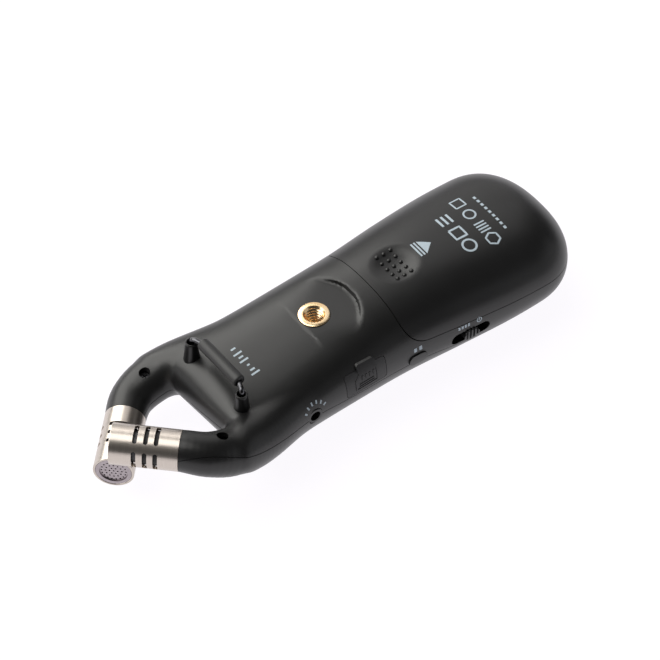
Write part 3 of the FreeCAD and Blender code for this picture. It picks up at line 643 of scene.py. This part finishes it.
cap_metal = metal("cap_metal", (0.33, 0.29, 0.305), (0.41, 0.37, 0.385), 0.34, grain=1500.0)
wire_steel = metal("wire_steel", (0.07, 0.07, 0.075), (0.11, 0.11, 0.12), 0.16, grain=700.0)
brass = metal("brass", (0.90, 0.63, 0.34), (0.98, 0.76, 0.48), 0.22, (1, 1, 30), grain=260.0)
screw_steel = metal("screw_steel", (0.05, 0.05, 0.055), (0.09, 0.09, 0.095), 0.33)
contact_steel = metal("contact_steel", (0.6, 0.6, 0.62), (0.75, 0.75, 0.77), 0.22)
port_metal = metal("port_metal", (0.42, 0.42, 0.44), (0.56, 0.56, 0.58), 0.28)
capsule_metal = metal("capsule_metal", (0.05, 0.05, 0.052), (0.08, 0.08, 0.083), 0.42)
board_laminate = laminate("board_laminate")
cell_low, cell_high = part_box("battery_left")
cell_wrap = banded("cell_wrap", [(0.0, (0.30, 0.31, 0.32)), (0.03, (0.02, 0.09, 0.12)),
                                 (0.72, (0.55, 0.57, 0.58)), (0.76, (0.04, 0.20, 0.24)),
                                 (0.97, (0.5, 0.5, 0.5))], cell_low.y, cell_high.y, 0.25)


def display_glass():
    n = Nodes("display_glass")
    n.set(Coat_Weight=0.6, Coat_Roughness=0.04)
    n.link(n.ramp(n.noise(40.0), [(0.3, (0.006, 0.007, 0.008)), (0.7, (0.010, 0.011, 0.013))]),
           n.shader.inputs["Base Color"])
    n.link(n.span(n.noise(90.0), 0.06, 0.12), n.shader.inputs["Roughness"])
    n.bump(n.noise(60.0), 0.03, 0.00002)
    return n.material


# ---- camera and stage -------------------------------------------------------------
CAMERA_AT, CAMERA_AIM = (-669.7, 498.8 + SOCKET_Y, 999.9), (4.97, -9.81 + SOCKET_Y, 12.0)
CAMERA_LENS = 229.83


def make_camera():
    """Looks down on the rear from the card side, from about 1.3 m, with a long lens."""
    data = bpy.data.cameras.new("camera")
    data.sensor_width = 36.0
    data.lens = CAMERA_LENS
    data.clip_start, data.clip_end = 0.05, 20.0
    camera = bpy.data.objects.new("camera", data)
    bpy.context.scene.collection.objects.link(camera)
    camera.location = Vector(CAMERA_AT) * MM
    aim = Vector(CAMERA_AIM) * MM
    camera.rotation_mode = "QUATERNION"
    camera.rotation_quaternion = (aim - camera.location).to_track_quat("-Z", "Y")
    bpy.context.scene.camera = camera


def area_light(name, location, aim, size, power, colour=(1, 1, 1)):
    data = bpy.data.lights.new(name, "AREA")
    data.shape = "RECTANGLE"
    data.size, data.size_y = size
    data.energy = power
    data.color = colour
    light = bpy.data.objects.new(name, data)
    bpy.context.scene.collection.objects.link(light)
    light.location = location
    direction = Vector(aim) - Vector(location)
    light.rotation_euler = direction.to_track_quat("-Z", "Y").to_euler()


def make_stage():
    """Pale glowing floor, large soft lights on the far side and overhead, and a dim room."""
    n = Nodes("floor_paint")
    n.set(Roughness=0.9, Emission_Strength=0.97)
    n.shader.inputs["Emission Color"].default_value = (0.985, 0.965, 1.0, 1)
    n.link(n.ramp(n.noise(3.0), [(0.3, (0.08, 0.08, 0.08)), (0.7, (0.085, 0.085, 0.085))]),
           n.shader.inputs["Base Color"])
    side = 6.0
    mesh = bpy.data.meshes.new("floor")
    mesh.from_pydata([(-side, -side, 0), (side, -side, 0), (side, side, 0), (-side, side, 0)],
                     [], [(0, 1, 2, 3)])
    mesh.materials.append(n.material)
    floor = bpy.data.objects.new("floor", mesh)
    floor.location.z = -0.00002
    bpy.context.scene.collection.objects.link(floor)
    world = bpy.data.worlds.new("surround")
    world.use_nodes = True
    background = world.node_tree.nodes["Background"]
    background.inputs["Color"].default_value = (1.0, 1.0, 1.0, 1)
    background.inputs["Strength"].default_value = 0.05
    bpy.context.scene.world = world
    area_light("main_softbox", (1.0, 0.58, 0.96), (0, 0, 0.03), (2.8, 1.4), 42.0, (1.0, 0.99, 0.95))
    area_light("top_softbox", (0.25, 0.38, 1.5), (0, 0, 0.03), (1.0, 1.0), 7.9, (1.0, 0.99, 0.96))
    area_light("back_softbox", (0.84, -0.78, 0.85), (0, 0, 0.03), (0.9, 1.5), 3.6, (1.0, 0.98, 0.97))
    area_light("tail_softbox", (-0.75, -1.0, 0.45), (0, 0, 0.1), (1.4, 0.8), 1.6, (0.97, 0.98, 1.0))
    bpy.context.scene.view_settings.view_transform = "Standard"


# ---- housings ---------------------------------------------------------------------
CELL, INNER_CELL = 0.62, 1.0
COVER_CORNER = 8.5
FORM_LOW, FORM_HIGH = (-31.0, -91.5, -1.5), (31.0, 74.0, 36.5)


def parting_height(x, y):
    """Height of the line between the housings; it leans with the crossed arms."""
    return lookup(y, PARTING_AT) - x * lookup(y, PARTING_SLOPE_AT)


def below_parting(offset):
    xs, ys = np.linspace(-40, 40, 5), np.linspace(-100, 90, 160)
    return slab("below", xs, ys, lambda x, y: parting_height(x, y) + offset, -20.0)


def cover_block(gap):
    """Block round the battery cover; gap moves its walls out."""
    front, edge, tail = COVER_FRONT_Y + gap, COVER_EDGE_Z - gap, COVER_TAIL_EDGE_Z - gap
    centre_y, centre_z = front - COVER_CORNER, edge + COVER_CORNER
    outline = [(front, 45.0)]
    for i in range(17):
        angle = math.radians(90 * i / 16)
        outline.append((centre_y + COVER_CORNER * math.cos(angle),
                        centre_z - COVER_CORNER * math.sin(angle)))
    outline += [(-98.0, tail), (-98.0, 45.0)]
    return prism("cover_block", outline[::-1], "x", -40.0, 40.0)


def mic_cut(side):
    """Block past the flat end of an arm."""
    corner = np.array([side * MIC_ROOT[0], MIC_ROOT[1]])
    along = np.array([-side * DIAGONAL, DIAGONAL])
    across = np.array([along[1], -along[0]])
    outline = [corner - across * 9.5, corner + across * 9.5,
               corner + across * 9.5 + along * 12, corner - across * 9.5 + along * 12]
    z = MIC_HIGH_Z if side < 0 else MIC_LOW_Z
    return prism("mic_cut", [tuple(p) for p in outline], "z", z - 9.0, z + 9.0)


def wall_openings(upper, lower):
    """Holes in the side walls, in the arms and at the socket; the arm screw holes and the socket hole
    cut only the upper housing, the others cut both.
    """
    cutters = []
    for side in (-1, 1):
        cutters.append(prism("jack_hole", circle(JACK_Y, JACK_Z, 2.72), "x", side * 18.0, side * 30.0))
    recess = prism("door_recess", round_rectangle(*DOOR_RECESS), "x", -30.0, -18.6)
    behind = slab("behind_door", np.linspace(15, 25, 21), np.linspace(-12, 6, 13),
                  lambda z, y: side_reach(y.ravel(), z.ravel()).reshape(y.shape) - DOOR_SEAT_DEPTH,
                  10.0, to_side=True)
    cutters.append(boolean(recess, behind, "DIFFERENCE"))
    for name, outline, start, end in (("card_hole", CARD_HOLE, -30.0, -10.0),
                                      ("side_key_hole", SIDE_KEY_HOLE, -30.0, -17.0),
                                      ("slider_hole", SLIDER_HOLE, -30.0, -17.0),
                                      ("port_hole", PORT_HOLE, 17.0, 30.0)):
        cutters.append(prism(name, round_rectangle(*outline), "x", start, end))
    for y in VOLUME_KEYS_Y:
        outline = round_rectangle(y - VOLUME_HALF_LENGTH, y + VOLUME_HALF_LENGTH, 14.45, 18.15, 1.84)
        cutters.append(prism("volume_hole", outline, "x", 17.0, 30.0))
    for side, top in ((-1, 26.9), (1, 19.0)):
        outline = circle(side * ARM_SCREW_AT[0], ARM_SCREW_AT[1], ARM_SCREW_HOLE)
        cutters.append(prism("arm_screw_hole", outline, "z", top - 2.6, top + 8))
    cutters.append(prism("socket_hole", circle(0, 0, INSERT_RADIUS + 0.02, 96), "z", 20.4, 40.0))
    for cutter in cutters:
        boolean(upper, cutter, "DIFFERENCE", keep_cutter=True)
        if cutter.name.split(".")[0] not in ("arm_screw_hole", "socket_hole"):
            boolean(lower, cutter, "DIFFERENCE", keep_cutter=True)
        bpy.data.objects.remove(cutter)


# x, y and radius of each key on the front
FRONT_KEYS = [(0, -13.5, 4.6), (-5.0, -24.2, 3.1), (5.0, -24.2, 3.1),
              (-5.0, -32.2, 3.1), (5.0, -32.2, 3.1), (0, -40.0, 2.6)]
SPEAKER_Y = -60.0


def front_openings(lower):
    """Window, key well, key, lamp and loudspeaker holes in the front housing."""
    cutters = [prism("window_step", round_rectangle(-8.6, 8.6, -0.6, 28.6, 1.5), "z", -1.0, 1.3),
               prism("window_hole", round_rectangle(-7.4, 7.4, 0.6, 27.4, 1.0), "z", -1.0, 4.0),
               prism("key_well", round_rectangle(-8.8, 8.8, -44.0, -8.0, 4.0), "z", -1.0, 0.8),
               prism("lamp_hole", circle(0, 30.4, 1.05), "z", -1.0, 5.0)]
    cutters += [prism("key_hole", circle(x, y, r + 0.15, 64), "z", -1.0, 5.0) for x, y, r in FRONT_KEYS]
    for ring, count in ((0, 1), (2.2, 6), (4.4, 12)):
        for i in range(count):
            angle = 2 * math.pi * i / count
            centre = (ring * math.cos(angle), SPEAKER_Y + ring * math.sin(angle))
            cutters.append(prism("sound_hole", circle(*centre, 0.6, 20), "z", -1.0, 4.0))
    for cutter in cutters:
        boolean(lower, cutter, "DIFFERENCE")


def make_housings():
    """Rear housing, front housing and battery cover, cut from one hollow form."""
    points, faces = net_surface(outside_distance, FORM_LOW, FORM_HIGH, CELL)
    outer = to_mesh_object("outer", points, faces)
    points, faces = net_surface(inside_distance, FORM_LOW, FORM_HIGH, INNER_CELL)
    inner = to_mesh_object("inner", points, faces)
    for side in (-1, 1):
        boolean(outer, mic_cut(side), "DIFFERENCE")
    shell = boolean(outer, inner, "DIFFERENCE")
    lower = boolean(copy_of(shell, "front_shell"), below_parting(-SEAM / 2), "INTERSECT")
    upper = boolean(shell, below_parting(SEAM / 2), "DIFFERENCE")
    wall_openings(upper, lower)
    front_openings(lower)
    cover = boolean(copy_of(upper, "cover_shell"), cover_block(0.0), "INTERSECT")
    rear = boolean(upper, cover_block(SEAM), "DIFFERENCE")
    rear.name = "rear_shell"
    for shell_piece, node, body, material in (
            (rear, "rear_housing", "recorder", housing_plastic),
            (lower, "front_housing", "recorder", housing_plastic),
            (cover, "battery_cover", "battery_cover", cover_plastic)):
        crease(keep_largest(shell_piece), 28)
        slot = "cover_plastic" if node == "battery_cover" else "housing_plastic"
        finish_piece(shell_piece, body, material, slot, node)


def dish_bumps():
    """Rows of small domes in the finger dish."""
    pitch = 2.65
    points, faces = [], []
    for i in range(5):
        for j in range(3):
            x, y = (i - 2) * pitch, (j - 1) * pitch
            z = DISH_CENTRE_Z - math.sqrt(DISH_SPHERE ** 2 - x * x - y * y)
            profile = [(0, -0.3), (0.72, -0.3), (0.72, 0.05)]
            profile += [(0.66 * math.cos(a), 0.1 + 0.5 * math.sin(a)) for a in np.linspace(0.1, 1.45, 6)]
            profile.append((0, 0.6))
            p, f = lathe(profile, 20)
            start = len(points)
            points += [(x + q[0], DISH_Y + y + q[1], z + q[2]) for q in p]
            faces += [[start + k for k in face] for face in f]
    bumps = to_mesh_object("dish_bumps", points, faces)
    crease(bumps, 50)
    finish_piece(bumps, "battery_cover", cover_plastic, "cover_plastic")


# ---- printed and raised marks ---------------------------------------------------------
PRINT_LIFT, SIGN_LIFT = 0.02, 0.16


def top_height(x, y):
    """Height of the rear surface over each (x, y)."""
    low_z, high_z = np.full(len(x), 17.0), np.full(len(x), 37.0)
    for _ in range(22):
        middle = (low_z + high_z) / 2
        inside = outside_distance(x, y, middle) < 0
        low_z, high_z = np.where(inside, middle, low_z), np.where(inside, high_z, middle)
    return low_z


def side_reach(y, z):
    """How far the card side's wall reaches along -X at each (y, z)."""
    near, far = np.full(len(y), 15.0), np.full(len(y), 31.0)
    for _ in range(22):
        middle = (near + far) / 2
        inside = outside_distance(-middle, y, z) < 0
        near, far = np.where(inside, middle, near), np.where(inside, far, middle)
    return near


def ribbon(line, widths, step=0.6):
    """Strip of quads along a line of (u, v) points; each row has three points across."""
    line = np.array(line, float)
    widths = np.broadcast_to(widths, len(line)).astype(float)
    rows, half = [line[0]], [widths[0] / 2]
    for a, b, wa, wb in zip(line, line[1:], widths, widths[1:]):
        count = max(1, int(np.ceil(np.linalg.norm(b - a) / step)))
        for k in range(1, count + 1):
            rows.append(a + (b - a) * k / count)
            half.append((wa + (wb - wa) * k / count) / 2)
    rows, half = np.array(rows), np.array(half)
    ahead = np.gradient(rows, axis=0)
    ahead /= np.maximum(np.linalg.norm(ahead, axis=1), 1e-9)[:, None]
    across = np.stack([-ahead[:, 1], ahead[:, 0]], 1) * half[:, None]
    flat = np.stack([rows - across, rows, rows + across], 1).reshape(-1, 2)
    quads = []
    for r in range(len(rows) - 1):
        for c in (0, 1):
            i = 3 * r + c
            quads.append((i, i + 1, i + 4, i + 3))
    return flat, quads


def marks(name, ribbons, lift, thickness=PRINT_LIFT):
    """Thin closed marks; lift turns (u, v) and a height over the surface into points."""
    points, faces = [], []
    for flat, quads in ribbons:
        start, n = sum(len(p) for p in points), len(flat)
        points.append(lift(flat[:, 0], flat[:, 1], thickness))
        points.append(lift(flat[:, 0], flat[:, 1], -0.05))
        rows = n // 3
        rim = [3 * r for r in range(rows)] + [n - 2] + [3 * r + 2 for r in reversed(range(rows))] + [1]
        faces += [tuple(start + i for i in q) for q in quads]
        faces += [tuple(start + n + i for i in reversed(q)) for q in quads]
        for a, b in zip(rim, rim[1:] + rim[:1]):
            faces.append((start + b, start + a, start + n + a, start + n + b))
    return to_mesh_object(name, np.vstack(points), faces, smooth=False)


def on_top(x, y, height):
    return np.stack([x, y, top_height(x, y) + height], 1)


def on_side(y, z, height):
    return np.stack([-(side_reach(y, z) + height), y, z], 1)


def on_front(x, y, height):
    return np.stack([x, y, np.full(len(x), 0.35 - height)], 1)


def ring_line(u, v, radius, start=0.0, stop=360.0, count=24):
    angles = np.radians(np.linspace(start, stop, count + 1))
    return [(u + radius * math.cos(a), v + radius * math.sin(a)) for a in angles]


def cover_marks():
    """Slide arrow with two stripes, and a field of plain shapes at the tail."""
    base_y = -44.8 + 3.6
    ribbons = [ribbon([(0, base_y), (0, -44.8)], [5.9, 0.1])]
    for k in (0, 1):
        y = base_y + 0.55 + 0.3 + 1.1 * k
        ribbons.append(ribbon([(-2.95, y), (2.95, y)], 0.6))
    ribbons.append(ribbon(ring_line(-7.4, -54.2, 2.2), 0.7))
    ribbons.append(ribbon(ring_line(-1.6, -54.2, 2.9, 45, 405, 4), 0.7))
    for k in range(3):
        ribbons.append(ribbon([(3.0, -52.2 - 1.9 * k), (7.0, -52.2 - 1.9 * k)], 0.8))
    ribbons.append(ribbon(ring_line(-9.0, -62.2, 2.3, 0, 360, 6), 0.6))
    for k in range(4):
        ribbons.append(ribbon([(-5.4 + 1.2 * k, -60.3), (-5.4 + 1.2 * k, -64.2)], 0.55))
    ribbons.append(ribbon(ring_line(2.8, -62.2, 1.9), 0.6))
    corners = [(7.0, -60.4), (7.0, -64.2), (10.6, -64.2), (10.6, -60.4), (7.0, -60.4)]
    ribbons.append(ribbon(corners, 0.5))
    for k in range(9):
        ribbons.append(ribbon([(-8.0 + 1.9 * k, -68.1), (-6.9 + 1.9 * k, -68.1)], 0.9))
    made = marks("cover_print", ribbons, on_top)
    finish_piece(made, "battery_cover", print_ink, "cover_plastic")


def housing_marks():
    """A row of plain bars by the bail, a jack arc, and small signs along the card side."""
    ribbons, middle_y = [], 26.2
    for x, length in ((-5.6, 3.0), (-4.0, 1.6), (-1.9, 0.9), (0.3, 3.0),
                      (1.9, 1.6), (3.6, 3.0), (5.9, 1.6)):
        ribbons.append(ribbon([(x, middle_y - length / 2), (x, middle_y + length / 2)], 0.65))
    made = marks("rear_print", ribbons, on_top)
    finish_piece(made, "recorder", print_ink, "housing_plastic")
    ribbons = []
    for k in range(6):
        angle = math.radians(42 + 21 * k)
        ribbons.append(ribbon([(JACK_Y + reach * math.cos(angle), JACK_Z + reach * math.sin(angle))
                               for reach in (4.1, 5.2)], 0.5))
    for y in (-23.6, -21.7):
        ribbons.append(ribbon([(y, 19.0), (y, 20.5)], [1.0, 1.0], 0.3))
    sign_y, sign_z = -45.0, 19.7
    for k in range(4):
        ribbons.append(ribbon([(-41.5 + 1.15 * k, sign_z), (-40.8 + 1.15 * k, sign_z)], 1.1, 0.3))
    ribbons.append(ribbon(ring_line(sign_y, sign_z, 0.8, 120, 420), 0.3, 0.3))
    ribbons.append(ribbon([(sign_y, sign_z), (sign_y, 20.8)], 0.3, 0.3))
    made = marks("side_print", ribbons, on_side)
    finish_piece(made, "recorder", print_ink, "housing_plastic")


def door_marks():
    """Raised card sign on the rubber door."""
    low_z, high_z = 17.0, 22.4
    outline = [(-7.2, low_z), (-7.2, high_z), (-1.0, high_z),
               (0.8, high_z - 1.6), (0.8, low_z), (-7.2, low_z)]
    ribbons = [ribbon(outline, 0.45)]
    for k in range(4):
        ribbons.append(ribbon([(-6.0 + 1.4 * k, high_z - 0.9), (-6.0 + 1.4 * k, high_z - 2.4)], 0.6))
    for z in (low_z + 0.9, low_z + 1.8):
        ribbons.append(ribbon([(-6.0, z), (-0.4, z)], 0.35))
    made = marks("door_sign", ribbons, on_side, SIGN_LIFT)
    finish_piece(made, "card_door", door_rubber, "door_rubber")


def key_marks():
    """Plain signs on the front keys."""
    signs = {
        "rewind_key": [ribbon([(-4.6, -24.2), (-6.0, -24.2)], [0.1, 1.9], 0.4),
                       ribbon([(-3.2, -24.2), (-4.6, -24.2)][::-1], [0.1, 1.9], 0.4)],
        "forward_key": [ribbon([(4.9, -24.2), (3.5, -24.2)][::-1], [1.9, 0.1], 0.4),
                        ribbon([(6.3, -24.2), (4.9, -24.2)][::-1], [1.9, 0.1], 0.4)],
        "stop_key": [ribbon([(-5.9, -32.2), (-4.1, -32.2)], 1.8)],
        "play_key": [ribbon([(4.1, -32.2), (6.1, -32.2)], [2.0, 0.1], 0.4)],
        "menu_key": [ribbon([(-1.0, y), (1.0, y)], 0.3) for y in (-40.7, -40.0, -39.3)],
    }
    for body, ribbons in signs.items():
        made = marks(body + "_sign", ribbons, on_front)
        finish_piece(made, body, print_ink, "key_plastic")


# ---- brass insert -------------------------------------------------------------------
def make_insert():
    """Brass insert with a real 20-per-inch thread cut into its bore."""
    pitch, minor, major = 1.27, 2.6, 3.17
    columns, rows = 72, 90
    bottom, top = INSERT_LOW_Z + 1.0, INSERT_TOP_Z
    points = []
    for r in range(rows + 1):
        z = bottom + (top - bottom) * r / rows
        for c in range(columns):
            phase = (z / pitch + c / columns) % 1.0
            depth = 1 - abs(2 * phase - 1)
            flank = min(1.0, max(0.0, (depth - 0.12) / 0.76))
            bevel = 3.42 - (top - z) * 0.9
            radius = max(minor + (major - minor) * flank, bevel)
            angle = 2 * math.pi * c / columns
            points.append((radius * math.cos(angle), radius * math.sin(angle), z))
    rings = [(3.62, top), (4.75, top), (4.93, top - 0.12), (4.96, top - 0.3), (4.96, INSERT_LOW_Z)]
    faces = []
    for r in range(rows):
        for c in range(columns):
            d = (c + 1) % columns
            a, b = r * columns, (r + 1) * columns
            faces.append((a + d, a + c, b + c, b + d))
    faces.append(tuple(range(columns)))
    last = rows * columns
    for radius, z in rings:
        start = len(points)
        points += [(u, v, z) for u, v in circle(0.0, 0.0, radius, columns)]
        for c in range(columns):
            d = (c + 1) % columns
            faces.append((last + d, last + c, start + c, start + d))
        last = start
    faces.append(tuple(range(last, last + columns))[::-1])
    insert = to_mesh_object("threaded_insert", points, faces)
    crease(insert, 40)
    finish_piece(insert, "recorder", brass, "socket_brass", "tripod_insert")


# ---- bail ------------------------------------------------------------------------------
POST_X, POST_Y = 12.8, 36.7
GRIP_Y, GRIP_Z = 34.9, 33.2


def make_bail():
    """Two posts, the bent wire that ends in them and the grip tube round the wire."""
    points, faces = [], []
    profile = [(0, 23.2), (2.62, 23.2), (2.6, 24.4), (2.45, 25.6), (2.2, 28.0), (1.98, 30.6),
               (1.95, 31.5), (1.86, 31.85), (1.7, 32.0), (1.45, 32.0), (1.3, 31.85),
               (1.22, 31.5), (1.15, 30.2), (0, 30.2)]
    for side in (-1, 1):
        p, f = lathe(profile, 48)
        start = len(points)
        points += [(q[0] + side * POST_X, q[1] + POST_Y, q[2]) for q in p]
        faces += [[start + k for k in face] for face in f]
    posts = to_mesh_object("bail_sockets", points, faces)
    crease(posts, 40)
    finish_piece(posts, "recorder", post_rubber, "post_rubber", "bail_posts")
    half = [(POST_X, POST_Y, 30.0), (POST_X, POST_Y - 0.3, GRIP_Z), (8.6, GRIP_Y, GRIP_Z)]
    route = arc_route([(-x, y, z) for x, y, z in half] + half[::-1])
    p, f = sweep(route, 0.8)
    wire = to_mesh_object("bail_rod", p, f)
    crease(wire, 60)
    finish_piece(wire, "recorder", wire_steel, "wire_steel", "bail_wire")
    profile = [(0.85, -9.5), (1.6, -9.5), (1.85, -9.38), (1.97, -9.1), (2.0, -8.6), (2.0, 8.6),
               (1.97, 9.1), (1.85, 9.38), (1.6, 9.5), (0.85, 9.5)]
    p, f = lathe(profile, 56)
    turn = [[0, 0, 1], [0, 1, 0], [-1, 0, 0]]
    grip = to_mesh_object("bail_sleeve", place(p, turn, (0, GRIP_Y, GRIP_Z)), f)
    crease(grip, 50)
    finish_piece(grip, "recorder", grip_rubber, "grip_rubber", "bail_grip")


# ---- carried-over nodes -------------------------------------------------------------------
def dress_nodes():
    """Materials for the CAD nodes that stay as they are."""
    finishes = {
        "mic_sleeve_left": mic_metal_left, "mic_sleeve_right": mic_metal_right,
        "mic_cap": cap_metal, "mic_capsule": capsule_metal, "capsule_holder": holder_rubber,
        "mic_lead": lead_plastic, "mic_plugs": jack_plastic, "arm_screws": screw_steel,
        "board_screws": screw_steel, "battery_left": cell_wrap, "battery_right": cell_wrap,
        "battery_contacts": contact_steel, "battery_springs": contact_steel,
        "battery_tray": jack_plastic, "main_board": board_laminate, "key_board": board_laminate,
        "board_chips": chip_plastic, "key_switches": port_metal, "volume_switches": port_metal,
        "side_key_switch": port_metal, "power_switch": port_metal, "data_port": port_metal,
        "card_slot": port_metal, "memory_card": card_plastic, "line_in_jack": jack_plastic,
        "headphone_jack": jack_plastic, "display_window": display_glass(),
        "display_module": module_plastic, "record_lamp": lamp_plastic, "speaker": capsule_metal,
        "side_key": side_key_plastic, "volume": side_key_plastic, "power_slider": side_key_plastic,
        "card_door": door_rubber, "record_key": record_plastic,
    }
    for name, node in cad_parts.items():
        if node.hide_render:
            continue
        matches = [key for key in finishes if name.startswith(key)]
        material = finishes[max(matches, key=len)] if matches else key_plastic
        node.data.materials.clear()
        node.data.materials.append(material)


make_camera()
make_stage()
make_housings()
dish_bumps()
make_insert()
make_bail()
cover_marks()
housing_marks()
door_marks()
key_marks()
dress_nodes()
